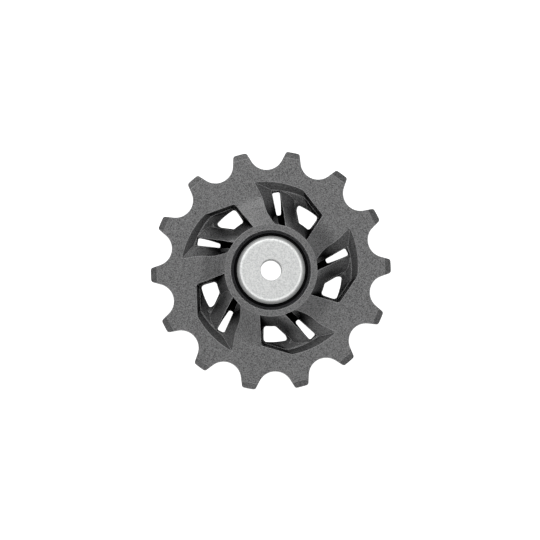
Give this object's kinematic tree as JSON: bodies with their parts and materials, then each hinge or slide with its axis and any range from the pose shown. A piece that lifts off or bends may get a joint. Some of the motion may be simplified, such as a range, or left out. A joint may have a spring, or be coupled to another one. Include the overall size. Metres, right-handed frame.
{
  "type": "derailleur jockey wheel",
  "caption": "Toothed guide wheel of a bicycle rear derailleur, moulded with twisted windows, turning on a sealed ball bearing between two turned caps.",
  "frame": {"origin": "centre of the axle bore, in the middle of the wheel's thickness", "axes": "+Z along the axle bore, out of the show face; +Y up in the picture, +X to its right"},
  "size_m": [0.0584, 0.0578, 0.0074],
  "materials": {
    "moulded_nylon": "fine moulded texture",
    "cap_aluminium": "bead blasted and turned",
    "bearing_steel": "ground",
    "ball_steel": "polished",
    "cage_steel": "pressed strip",
    "seal_rubber": "moulded"
  },
  "bodies": {
    "axle_core": {"front_cap": "cap_aluminium", "rear_cap": "cap_aluminium", "inner_race": "bearing_steel"},
    "wheel": {"wheel_body": "moulded_nylon", "outer_race": "bearing_steel", "front_seal": "seal_rubber", "rear_seal": "seal_rubber"},
    "ball_cage": {"cage_front": "cage_steel", "cage_rear": "cage_steel"},
    "ball_01": {"bearing_ball_01": "ball_steel"},
    "ball_02": {"bearing_ball_02": "ball_steel"},
    "ball_03": {"bearing_ball_03": "ball_steel"},
    "ball_04": {"bearing_ball_04": "ball_steel"},
    "ball_05": {"bearing_ball_05": "ball_steel"},
    "ball_06": {"bearing_ball_06": "ball_steel"},
    "ball_07": {"bearing_ball_07": "ball_steel"},
    "ball_08": {"bearing_ball_08": "ball_steel"},
    "ball_09": {"bearing_ball_09": "ball_steel"},
    "ball_10": {"bearing_ball_10": "ball_steel"},
    "ball_11": {"bearing_ball_11": "ball_steel"}
  },
  "joints": [
    {"name": "wheel_spin", "type": "hinge", "parent": "axle_core", "child": "wheel", "pos_m": [0, 0, 0], "axis": [0, 0, 1], "continuous": true},
    {"name": "cage_turn", "type": "hinge", "parent": "axle_core", "child": "ball_cage", "pos_m": [0, 0, 0], "axis": [0, 0, 1], "continuous": true},
    {"name": "ball_spin_01", "type": "hinge", "parent": "ball_cage", "child": "ball_01", "pos_m": [0, 0.00725, 0], "axis": [0, 0, 1], "continuous": true},
    {"name": "ball_spin_02", "type": "hinge", "parent": "ball_cage", "child": "ball_02", "pos_m": [0.00392, 0.0061, 0], "axis": [0, 0, 1], "continuous": true},
    {"name": "ball_spin_03", "type": "hinge", "parent": "ball_cage", "child": "ball_03", "pos_m": [0.0066, 0.00301, 0], "axis": [0, 0, 1], "continuous": true},
    {"name": "ball_spin_04", "type": "hinge", "parent": "ball_cage", "child": "ball_04", "pos_m": [0.00718, -0.00103, 0], "axis": [0, 0, 1], "continuous": true},
    {"name": "ball_spin_05", "type": "hinge", "parent": "ball_cage", "child": "ball_05", "pos_m": [0.00548, -0.00475, 0], "axis": [0, 0, 1], "continuous": true},
    {"name": "ball_spin_06", "type": "hinge", "parent": "ball_cage", "child": "ball_06", "pos_m": [0.00204, -0.00696, 0], "axis": [0, 0, 1], "continuous": true},
    {"name": "ball_spin_07", "type": "hinge", "parent": "ball_cage", "child": "ball_07", "pos_m": [-0.00204, -0.00696, 0], "axis": [0, 0, 1], "continuous": true},
    {"name": "ball_spin_08", "type": "hinge", "parent": "ball_cage", "child": "ball_08", "pos_m": [-0.00548, -0.00475, 0], "axis": [0, 0, 1], "continuous": true},
    {"name": "ball_spin_09", "type": "hinge", "parent": "ball_cage", "child": "ball_09", "pos_m": [-0.00718, -0.00103, 0], "axis": [0, 0, 1], "continuous": true},
    {"name": "ball_spin_10", "type": "hinge", "parent": "ball_cage", "child": "ball_10", "pos_m": [-0.0066, 0.00301, 0], "axis": [0, 0, 1], "continuous": true},
    {"name": "ball_spin_11", "type": "hinge", "parent": "ball_cage", "child": "ball_11", "pos_m": [-0.00392, 0.0061, 0], "axis": [0, 0, 1], "continuous": true}
  ],
  "couplings": [
    {"joint": "cage_turn", "follows": "wheel_spin", "ratio": 0.5821},
    {"joint": "ball_spin_01", "follows": "wheel_spin", "ratio": 2.9628},
    {"joint": "ball_spin_02", "follows": "wheel_spin", "ratio": 2.9628},
    {"joint": "ball_spin_03", "follows": "wheel_spin", "ratio": 2.9628},
    {"joint": "ball_spin_04", "follows": "wheel_spin", "ratio": 2.9628},
    {"joint": "ball_spin_05", "follows": "wheel_spin", "ratio": 2.9628},
    {"joint": "ball_spin_06", "follows": "wheel_spin", "ratio": 2.9628},
    {"joint": "ball_spin_07", "follows": "wheel_spin", "ratio": 2.9628},
    {"joint": "ball_spin_08", "follows": "wheel_spin", "ratio": 2.9628},
    {"joint": "ball_spin_09", "follows": "wheel_spin", "ratio": 2.9628},
    {"joint": "ball_spin_10", "follows": "wheel_spin", "ratio": 2.9628},
    {"joint": "ball_spin_11", "follows": "wheel_spin", "ratio": 2.9628}
  ]
}
